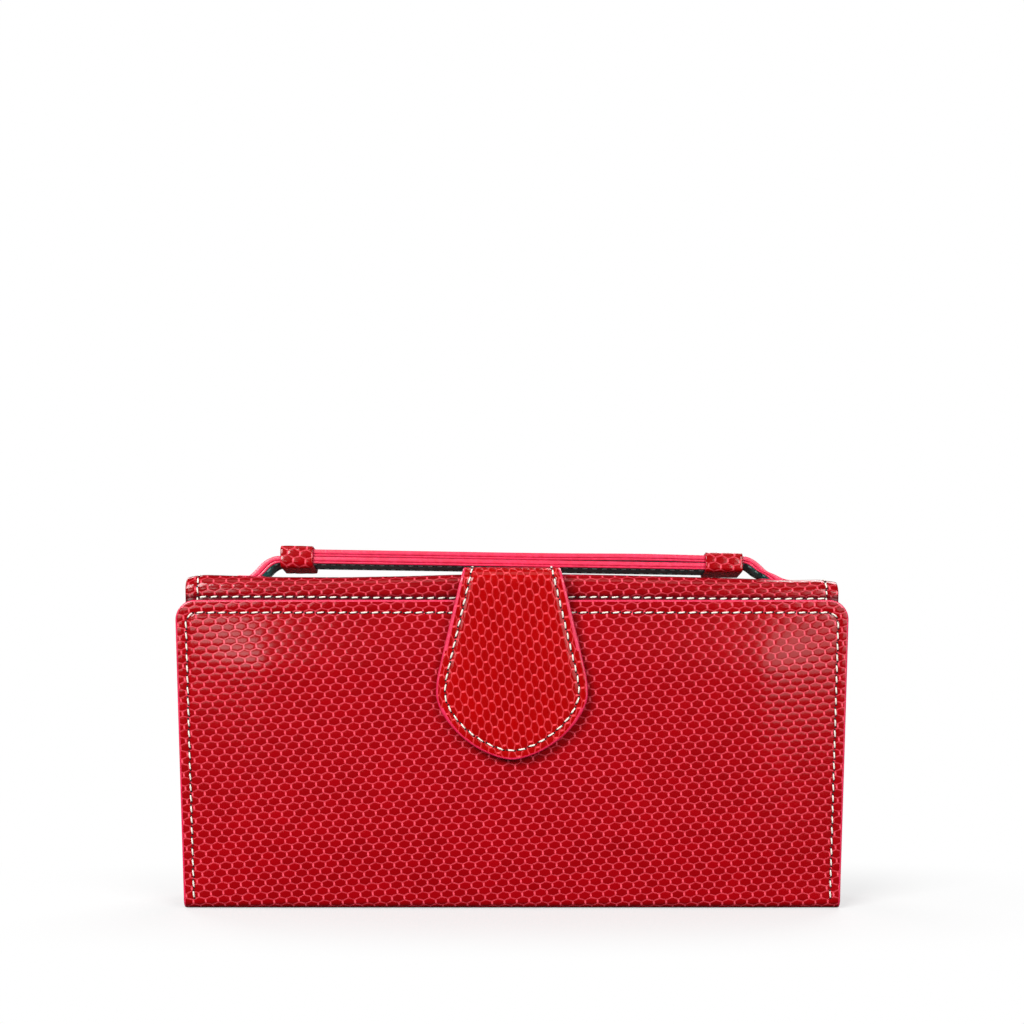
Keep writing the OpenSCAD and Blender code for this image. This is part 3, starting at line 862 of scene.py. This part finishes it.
x = graded(-HALF_WRAP, HALF_WRAP, 0.62)
s = np.concatenate([[0, 0.1, 0.25], np.arange(0.5, REAR_S, 0.5), np.arange(REAR_S, BASE_S, 0.68),
                    np.arange(BASE_S, wrap_path.length - 0.5, 1.0), [wrap_path.length]])
X, S = np.meshgrid(x, s)
face = (scales(X, S) * smooth(0, 0.8, HALF_WRAP - np.abs(X))
        + waves(X, S, 0.12) * smooth(BASE_S, BASE_S - 6, S)
        - rim_drop(np.minimum(HALF_WRAP - np.abs(X), S)) + groove(X, S, WRAP_SEAMS))
wrap = shell("outer_leather", wrap_surface(X, S, face), wrap_surface(X, S, -LEATHER + 0 * X),
             np.stack([X, S], -1), [PATENT_BODY, EDGE, SLOT])
ride(wrap, "body", ["outer_wrap"])
ride(stitches("body_stitches", wrap_surface, WRAP_SEAMS), "body")

u = graded(-1, 1, 0.5 / COVER_HALF[1], np.array((0, 0.1, 0.25, 0.5)) / COVER_HALF[1])
s = np.concatenate([np.arange(0, COVER_S - CORNER, 0.5),
                    COVER_S - CORNER + CORNER * np.sin(np.radians(np.linspace(0, 90, 20)))])
U, S = np.meshgrid(u, s)
X = U * cover_half(S)
outline = np.vstack([[(-COVER_HALF[0], -9)], bent_line(0, COVER_HALF[1], COVER_S, CORNER)[1:-1],
                     [(COVER_HALF[0], -9)]])
gap = line_gap(X, S, outline, closed=False)
face = (scales(X, S) * smooth(0, 0.8, gap) - rim_drop(gap)
        + groove(X, S, [COVER_SEAM], 0.24, 0.6))
cover = shell("cover_leather_sheet", cover_surface(X, S, face),
              np.stack([X, *cover_path.at(S, -LEATHER)], -1), np.stack([X, S], -1),
              [PATENT, EDGE, SLOT], painted=gap < COVER_PAINT)
HINGE = (("body", "cover"), (0, FOLD_C[0] * MM, 0), (0, COVER_Y * MM, FOLD_R * MM))
bend(cover, *HINGE, "patent", ["cover_leather", "bottom_fold"])
bend(stitches("cover_stitches", cover_surface, [COVER_SEAM]), *HINGE, "patent")

u = graded(-1, 1, 0.03, np.array((0, 0.1, 0.25, 0.5)) / 18)
U, S = np.meshgrid(u, tab_s)
X = U * tab_half(S)
gap = line_gap(X, S, TAB_OUTLINE)
turned = np.stack([X, S], -1) @ TURN.T
face = (scales(turned[..., 0], turned[..., 1]) * smooth(0, 0.8, gap) - rim_drop(gap)
        + groove(X, S, [TAB_SEAM], 0.22, 0.55))
# Leans forward more than down, so that the sewn end on the back stays before its start
TAB_FOLD = (("body", "tab"), (0, -0.0122, 0.1020), (0, -0.01646, 0.09955))
tab = shell("tab_leather", tab_surface(X, S, face), tab_surface(X, S, -LEATHER + 0 * X), turned,
            [PATENT_TAB, EDGE, SLOT], stride=10, painted=gap < TAB_PAINT)
bend(tab, *TAB_FOLD, "patent_tab", ["tab_bridge", "tab_tongue"])
under = rim_drop(gap, 0.3)
tab_lining = shell("tab_lining_ply", tab_surface(X, S, -2.0 + under),
                   tab_surface(X, S, -LEATHER + 0 * X), np.stack([X, S], -1),
                   [SLOT, EDGE, SLOT], stride=10)
bend(tab_lining, *TAB_FOLD, "slot_leather", ["tab_bridge_lining", "tab_tongue_lining"])
bend(stitches("tab_stitches", tab_surface, [TAB_SEAM]), *TAB_FOLD, "patent_tab")

# ---- Side walls ----

GUSSET_LOW, GUSSET_HIGH = cad("gusset_right")
GUSSET_X = GUSSET_HIGH[0]
side_outline = np.vstack([
    [(GUSSET_LOW[1], LEATHER + 0.1)], arc(BASE_C, BASE_R - LEATHER - 0.1, -90, 0, 9),
    arc(REAR_C, REAR_R - LEATHER - 0.1, 0, ROOF_ANGLE, 9),
    arc(RIDGE_C, RIDGE_R - LEATHER - 0.1, ROOF_ANGLE, 140, 6),
    [(GUSSET_LOW[1], RIDGE_C[1] - 1)]])
for side, word in ((-1, "left"), (1, "right")):
    def side_surface(a, b, out, side=side):
        crease = 0.45 * bump(a - 3.5, 1.3) * smooth(6, 26, b)
        z = b + np.interp(side * 96.5, sag_x, sag_z) * smooth(92.5, 99, b)
        x = side * (GUSSET_X - crease + 0.25 * np.sin((a + 7) / 22 * math.pi) + out)
        return x, a + 0 * out, z - 0.05

    wall = patch("side_wall_" + word, [side_outline], side_surface, LEATHER,
                 [PATENT, EDGE], step=1.1)
    ride(wall, "body", ["gusset_" + word])

# ---- Cover inside: lining and card slots ----

def facing(y, way, wave=0.05):
    """A flat surface at y. way is 1 if it faces the back, -1 if it faces the front"""
    def surface(a, b, out):
        return a, y + way * out + waves(a, b, wave, y), b
    return surface


def panel(name, node, r, way, body, materials, step, holes=(), bevel=0.12):
    """A flat-cut sheet in place of a CAD node. Gives the node's lowest and highest corner"""
    low, high = cad(node)
    face = high[1] if way > 0 else low[1]
    outline = rounded((low[0], low[2]), (high[0], high[2]), r)
    sheet = patch(name, [outline, *holes], facing(face, way), high[1] - low[1], materials, step,
                  bevel)
    ride(sheet, body, [node])
    return low, high


def apart(points):
    """x, y and z of an array of points"""
    return tuple(np.moveaxis(points, -1, 0))


def stacked(surface):
    """The same surface giving one array of points, as stitches() needs"""
    def points(a, b, out):
        return np.stack(np.broadcast_arrays(*surface(a, b, out)), -1)
    return points


panel("cover_lining_sheet", "cover_lining", 3.5, 1, "cover", [LINING, EDGE], 5)
for word in ("left", "right"):
    for place in (3, 2, 1):
        node = "card_slot_" + word + "_" + str(place)
        low, high = panel(node + "_leather", node, 1.6, 1, "cover",
                          [SLOT, EDGE], 4, bevel=0.1)
        inset = 1.7
        hem = [(low[0] + inset, high[2] - inset), (high[0] - inset, high[2] - inset)]
        rows = [hem]
        if place == 3:
            rows.append([(low[0] + inset, low[2] + inset), (high[0] - inset, low[2] + inset)])
        ends = [high[2] - inset, (high[2] - 12) if place < 3 else low[2] + inset]
        rows += [[(at, ends[0]), (at, ends[1])] for at in (low[0] + inset, high[0] - inset)]
        thread = stitches(node + "_stitches", stacked(facing(high[1], 1)), rows,
                          RED_THREAD, pitch=2.8, width=0.16, length=2.1, lift=0.10)
        ride(thread, "cover")

# ---- Inside the body ----

chain_low, chain_high = cad("zip_chain_upper")
ZIP_Z = (cad("zip_chain_lower")[0][2] + chain_high[2]) / 2
window = rounded((-84, ZIP_Z - 4.8), (84, ZIP_Z + 4.8), 2)
low, high = panel("pocket_wall_leather", "pocket_wall", 1.5, -1, "body",
                  [SLOT, EDGE], 4, [window])
frame_line = rounded((-86, ZIP_Z - 6.8), (86, ZIP_Z + 6.8), 3.4)
frame_line = np.vstack([frame_line, frame_line[:1]])
thread = stitches("pocket_stitches", stacked(facing(low[1], -1)),
                  [frame_line, [(low[0] + 2, high[2] - 2), (high[0] - 2, high[2] - 2)]],
                  RED_THREAD, pitch=2.8, width=0.18, length=2.1, lift=0.12)
ride(thread, "body")

panel("coin_pocket_cloth", "coin_pocket_back", 1, -1, "body", [LINING, LINING], 6)
low, high = panel("divider_cloth", "divider", 2.5, -1, "body", [LINING, LINING], 6)
# Leather binding folded over the divider's upper edge
ring = rounded((low[1] - 0.25, high[2] - 5), (high[1] + 0.25, high[2] + 0.3), 0.5, 5)
across = graded(low[0] + 1, high[0] - 1, 4)
grid = np.stack(np.broadcast_arrays(across[:, None], ring[:, 0], ring[:, 1]), -1)
run = lengths(ring)
binding = tube("divider_binding", grid, [SLOT], closed=False,
               flat=np.stack([grid[..., 0], np.broadcast_to(run, grid.shape[:2])], -1))
ride(binding, "body")

low, high = cad("body_lining")
inner = Path([(low[1], low[2] + 0.5), arc((high[1] - 2, low[2] + 2), 1.5, -90, 0, 8),
              (high[1] - 0.5, high[2])])


def lining_surface(a, b, out):
    y, z = inner.at(b, out)
    return a, y, z


outline = rounded((low[0], 0), (high[0], inner.length), 1)
sheet = patch("body_lining_cloth", [outline], lining_surface, 0.5, [LINING, LINING], step=2.2)
ride(sheet, "body", ["body_lining"])

# ---- Zip ----

low, high = cad("zip_tapes")
tapes = []
for side in (-1, 1):
    ends = sorted((ZIP_Z + side * 2.3, ZIP_Z + side * (high[2] - ZIP_Z)))
    tapes.append(patch("tape", [rounded((low[0], ends[0]), (high[0], ends[1]), 0.6)],
                       facing(low[1], -1), high[1] - low[1], [TAPE, TAPE], step=4, bevel=0.08))
ride(combine("zip_tape_cloth", tapes), "body", ["zip_tapes"])
chain_y = (chain_low[1] + chain_high[1]) / 2
teeth_x = np.arange(chain_low[0] + 0.6, chain_high[0], 1.32)


def chain_surface(a, b, out):
    return np.stack(np.broadcast_arrays(a, chain_y - out, b), -1)


for side, word in ((1, "upper"), (-1, "lower")):
    rows = [[(at, ZIP_Z + side * 0.55), (at, ZIP_Z + side * 2.55)] for at in teeth_x]
    teeth = stitches("zip_teeth_" + word, chain_surface, rows, NICKEL, pitch=2.0, width=0.52,
                     length=2.0, lift=0.25, slant=0, sunk=0, holes=False)
    ride(teeth, "body", ["zip_chain_" + word])

low, high = cad("zip_slider")
slider_x = (low[0] + high[0]) / 2
plates = []
shield = rounded((low[0], ZIP_Z - 4.2), (high[0], ZIP_Z + 4.2), 2.2, 8)
shield[:, 1] = ZIP_Z + (shield[:, 1] - ZIP_Z) * (0.76 + 0.24 * smooth(low[0], high[0],
                                                                     shield[:, 0]))


front = chain_low[1] - 0.2
for y, thick in ((front - 1, 1.0), (chain_high[1] + 0.2, 1.0)):
    plates.append(patch("plate", [shield], facing(y, -1, 0), thick, [NICKEL, NICKEL], 1.5, 0.28))
for side in (-1, 1):
    ends = sorted((ZIP_Z + side * 2.7, ZIP_Z + side * 4.0))
    rail = rounded((low[0] + 2, ends[0]), (high[0] - 0.6, ends[1]), 0.4)
    plates.append(patch("rail", [rail], facing(front, -1, 0), 0.5, [NICKEL, NICKEL], 1.5, 0.1))
    plates.append(patch("rail", [rail], facing(chain_high[1] - 0.3, -1, 0), 0.5, [NICKEL, NICKEL],
                        1.5, 0.1))
plates.append(patch("post", [rounded((slider_x - 0.8, ZIP_Z - 0.4), (slider_x + 0.8, ZIP_Z + 0.4),
                                     0.35)], facing(front, -1, 0), 1.9, [NICKEL, NICKEL], 1.0, 0))
head = low[1]
plates.append(lathe("rivet", [(0.01, head), (1.2, head + 0.02), (1.6, head + 0.12),
                              (1.7, head + 0.3), (0.9, head + 0.32), (0.9, front - 0.9),
                              (0.01, front - 0.9)], (slider_x, ZIP_Z), [NICKEL, NICKEL]))
ride(combine("zip_slider_body", plates), "slider", ["zip_slider"])

low, high = cad("zip_puller")
drop = np.array([(2.0, 0.6), (1.9, -2.5), (1.7, -4.2), (2.5, -6.5), (2.5, -15.5)])
end = arc((0, -16.5), 2.5, 0, -180, 14)
head = arc((0, 0), 2.0, 170, 10, 10)
pull = np.vstack([head, drop[1:4], end, drop[1:4][::-1] * (-1, 1)]) + (slider_x, ZIP_Z)
eye = arc((slider_x, ZIP_Z), 1.0, 0, 345, 20)
slot_hole = rounded((slider_x - 1.1, ZIP_Z - 16.6), (slider_x + 1.1, ZIP_Z - 8), 1.05)
puller = patch("zip_puller_plate", [pull, eye, slot_hole], facing(low[1], -1, 0), high[1] - low[1],
               [NICKEL, NICKEL], step=1.2, bevel=0.12)
ride(puller, "puller", ["zip_puller"])

# ---- Snap ----

low, high = cad("snap_socket")
front, back = low[1], high[1]
socket = lathe("snap_socket_turned", [
    (0.01, back - 0.1), (2.3, back - 0.1), (2.4, back - 0.3), (2.4, front + 0.2),
    (2.6, front + 0.02), (4.9, front), (5.1, front + 0.18), (5.6, front + 0.2),
    (5.8, front + 0.04), (6.4, front + 0.06), (6.85, front + 0.35), (7.0, front + 0.9),
    (7.0, back), (0.01, back)], (0, SNAP_Z), [NICKEL], sides=56)
ride(socket, "cover", ["snap_socket"])
low, high = cad("snap_stud")
front, back = low[1], high[1]
stud = lathe("snap_stud_turned", [
    (0.01, front), (6.0, front), (6.0, front + 0.2), (5.7, front + 0.38), (4.6, front + 0.4),
    (4.4, front + 0.28), (3.0, front + 0.28), (2.7, front + 0.4), (2.0, front + 0.45),
    (1.95, back - 0.3), (1.7, back - 0.05), (0.01, back)], (0, SNAP_Z), [NICKEL], sides=56)
ride(stud, "tab", ["snap_stud"])

# ---- Handle ----

TILT = math.radians(10)
STRAP_Y, STRAP_Z, STRAP_W, STRAP_T = -5.0, 103.1, 11.0, 2.1
UPPER = STRAP_T + 0.05
ANCHOR, SLIT, FOOT = 84.5, 78.6, -5.2
keeper_box = {word: cad("keeper_" + word) for word in ("left", "right")}
STRAP_END = (-keeper_box["left"][0][0], keeper_box["right"][1][0])


def handle_frame(x, across, up):
    """From the handle's tilted frame to the row frame. The whole handle hangs a little to the
    right, as the photo shows"""
    up = up - 0.0165 * x * smooth(-3, 0.5, up)
    return np.stack(np.broadcast_arrays(
        x, STRAP_Y + across * math.cos(TILT) + up * math.sin(TILT),
        STRAP_Z - across * math.sin(TILT) + up * math.cos(TILT)), -1)


class Strap:
    """One strap: a sewn foot, the flexing end that rises from the roof, and the flat length"""

    def __init__(self, side, level):
        self.side = side
        start, far = STRAP_END if side < 0 else STRAP_END[::-1]
        t = np.linspace(0, 1, 40)[:, None]
        ends = np.array([(start + 0.4, level), (start + 5.0, level), (ANCHOR - 7.5, FOOT),
                         (ANCHOR, FOOT)])
        rise = (ends[0] * (1 - t) ** 3 + ends[1] * 3 * t * (1 - t) ** 2
                + ends[2] * 3 * t * t * (1 - t) + ends[3] * t ** 3)
        self.path = Path([(ANCHOR + 8.5, FOOT), rise[::-1], (-far, level)], side=-1)
        self.free = self.path.find(SLIT + 2, -3.4)
        self.flat = self.path.find(start, level)

    def surface(self, across, s, out):
        x, up = self.path.at(s, out)
        # The upper strap stands a little clear of the lower one
        up = up + (0.30 * bump(x * self.side - 40, 20) if self.side > 0 else 0)
        return handle_frame(self.side * x, across, up)

    def ply(self, name, low, high, materials):
        """One layer of the strap, from low to high across its thickness"""
        section = rounded((0.0, low), (STRAP_W, high), 0.28, 4)
        cols = np.concatenate([section[:8], section[8:]])
        s = graded(0.02, self.path.length - 0.02, 0.9, (0, 0.1, 0.3))
        A, S = np.meshgrid(cols[:, 0], s)
        grid = self.surface(A, S, np.broadcast_to(cols[:, 1], A.shape))
        middle = (cols + np.roll(cols, -1, 0)) / 2
        kinds = np.where((middle[:, 0] < 0.3) | (middle[:, 0] > STRAP_W - 0.3), 1, 0)
        return tube(name, grid, materials, kinds, np.stack([A, S], -1), closed=False)


for side, word, level in ((-1, "left", STRAP_T / 2), (1, "right", UPPER + STRAP_T / 2)):
    strap = Strap(side, level)
    body = ("body", "handle_" + word)
    span = (body, (side * SLIT * MM, 0, 0.1), (side * 0.035, 0, 0.1))
    half = STRAP_T / 2
    leather = strap.ply("strap_leather_" + word, -half + 0.72, half, [STRAP, EDGE])
    bend(leather, *span, "strap_leather", ["strap_" + word, "riser_" + word])
    lining = strap.ply("strap_ply_" + word, -half, -half + 0.68, [TEAL, EDGE])
    bend(lining, *span, "strap_lining", ["strap_" + word + "_lining"])
    # Each strap is stitched all along on its open side, and on its riser on the other
    for face, way, thread, width, slot in (("under", -1, TEAL_THREAD, 0.21, "strap_lining"),
                                           ("over", 1, RED_THREAD, 0.20, "strap_leather")):
        def strap_face(across, s, out, strap=strap, way=way):
            return strap.surface(across, s, way * (STRAP_T / 2 + out))

        reach = strap.path.length - 2 if side == way else strap.flat + 1
        rows = [[(a, strap.free), (a, reach)] for a in (1.8, STRAP_W - 1.8)]
        bend(stitches("strap_stitches_" + face + "_" + word, strap_face, rows, thread, pitch=2.9,
                      width=width, length=2.1, lift=0.12), *span, slot)
    # A near-black sheet paints the shade of the slit that the strap comes out of; its sides get
    # edge paint
    slit = rounded((-4.4, -STRAP_W / 2 - 0.7), (4.4, STRAP_W / 2 + 0.7), 1.5)
    slit_x = side * SLIT
    roof_s = wrap_path.find(*handle_frame(slit_x, STRAP_W / 2, -5.0)[1:])

    def rim(a, b, out, slit_x=slit_x, roof_s=roof_s):
        return apart(wrap_surface(a + slit_x, b + roof_s, out + 0.2))

    ride(patch("slit_shade_" + word, [slit], rim, 0.3, [HOLE_SHADE, EDGE], step=1.2, bevel=0.1), "body")

for word, rider in (("left", "handle_right"), ("right", "handle_left")):
    low, high = keeper_box[word]
    ring = rounded((-0.55, -0.55), (STRAP_W + 0.55, 2 * STRAP_T + 0.6), 1.0, 7)
    ring = resample(ring, 0.45, closed=True)
    step = np.roll(ring, -1, 0) - np.roll(ring, 1, 0)
    step /= np.linalg.norm(step, axis=1)[:, None]
    normal = np.stack([step[:, 1], -step[:, 0]], 1)
    half = (high[0] - low[0]) / 2
    width = graded(-half, half, 0.5, (0, 0.12, 0.3))
    columns = [(at, 0.4) for at in width] + [(half, 0.0), (half, -0.4), (0, -0.4), (-half, -0.4),
                                             (-half, 0.0)]
    at = np.array([c[0] for c in columns])
    rise = np.array([c[1] for c in columns])
    run = np.arange(len(ring)) * 0.45
    A, R = np.meshgrid(at, run)
    outer = rise > 0.3
    emboss = (scales(A + 1.2, R, 0.08) - rim_drop(half - np.abs(A), 0.3)) * outer
    crown = 0.05 * (1 - (A / half) ** 2) * outer
    grid = handle_frame((low[0] + high[0]) / 2 + A,
                        ring[:, :1] + normal[:, :1] * (rise + emboss + crown),
                        ring[:, 1:] + normal[:, 1:] * (rise + emboss + crown))
    kinds = [0] * (len(width) - 1) + [1] * 6
    keeper = tube("keeper_loop_" + word, grid, [PATENT, EDGE], kinds,
                  np.stack([A + 1.2, R], -1))
    ride(keeper, rider, ["keeper_" + word])


def patch_surface(a, b, out):
    return apart(handle_frame(a, b, -6.1 - out))


low, high = cad("anchor_patches")
parts = []
for side in (-1, 1):
    ends = sorted((side * (high[0] - 10.9), side * high[0]))
    parts.append(patch("anchor", [rounded((ends[0], 0.5), (ends[1], 10.5), 1)], patch_surface,
                       -1.0, [SLOT, EDGE], step=3))
ride(combine("anchor_patch_leather", parts), "body", ["anchor_patches"])

# ---- CAD nodes that stay: they get a finish only ----

for names, material in ((("back_board", "base_board", "cover_board"), BOARD),
                        (("snap_stud_washer", "snap_socket_washer"), STEEL),
                        (("zip_end_stops",), NICKEL)):
    for node in names:
        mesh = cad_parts[node].data
        mesh.materials.clear()
        mesh.materials.append(material)

# ---- Stage and light ----

g = Graph("stage")
place = g.add("TexCoord", out=3)
# The ground goes white a little way in front of and behind the wallet
away = g.vector("LENGTH", g.vector("MULTIPLY", place, (0.30, 1.0, 1.0)), out=1)
far = g.span(away, 0.020, 0.075, 0.55, 1.0, True)
white = g.add("Emission", rgb(1.0, 1.0, 1.0), 1.0)
g.finish(rgb(0.72, 0.72, 0.72), 0.9, Specular_IOR_Level=0.1)
mixed = g.add("MixShader", far, g.bsdf.outputs[0], white)
g.put(g.tree.nodes["Material Output"].inputs["Surface"], mixed)
floor = bpy.data.objects.new("stage_floor", bpy.data.meshes.new("stage_floor"))
floor.data.from_pydata([(-6, -6, 0), (6, -6, 0), (6, 6, 0), (-6, 6, 0)], [], [(0, 1, 2, 3)])
floor.data.materials.append(g.material)
floor.location.z = -0.0001
floor.visible_glossy = False
floor.visible_diffuse = False
bpy.context.scene.collection.objects.link(floor)
floor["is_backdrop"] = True

world = bpy.data.worlds.new("studio")
world.use_nodes = True
bpy.context.scene.world = world
tree = world.node_tree
background = tree.nodes["Background"]
background.inputs["Strength"].default_value = 1.0
path = tree.nodes.new("ShaderNodeLightPath")
shade = tree.nodes.new("ShaderNodeMix")
shade.data_type = "RGBA"
shade.inputs[6].default_value = (0.03, 0.03, 0.031, 1)
shade.inputs[7].default_value = (1, 1, 1, 1)
tree.links.new(path.outputs["Is Camera Ray"], shade.inputs["Factor"])
tree.links.new(shade.outputs[2], background.inputs["Color"])


def softbox(name, azimuth, elevation, distance, size, power, spread=180):
    """A rectangular lamp aimed at the wallet. Azimuth 0 is in front, positive to the right"""
    a, e = math.radians(azimuth), math.radians(elevation)
    data = bpy.data.lights.new(name, "AREA")
    data.shape = "RECTANGLE"
    data.size, data.size_y = size
    data.energy = power
    data.spread = math.radians(spread)
    lamp = bpy.data.objects.new(name, data)
    lamp.location = (distance * math.sin(a) * math.cos(e), -distance * math.cos(a) * math.cos(e),
                     distance * math.sin(e) + 0.05)
    lamp.rotation_mode = "QUATERNION"
    aim = lamp.location.copy()
    aim.z -= 0.05
    lamp.rotation_quaternion = aim.to_track_quat("Z", "Y")
    bpy.context.scene.collection.objects.link(lamp)


softbox("key", -36, 30, 1.5, (0.8, 0.6), 27)
softbox("fill", 34, 24, 1.6, (0.8, 0.6), 13.5)
softbox("top", -5, 75, 1.5, (0.9, 0.7), 2.2)
softbox("corner", -17.5, 4.5, 1.6, (0.30, 0.20), 0.9)
softbox("right", 26, 8, 1.6, (0.7, 0.6), 3.4)
softbox("back", 150, 45, 1.6, (0.9, 0.7), 11)
softbox("back_left", -140, 30, 1.6, (0.7, 0.7), 8)

bpy.context.scene.view_settings.view_transform = "Standard"

low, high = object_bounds()
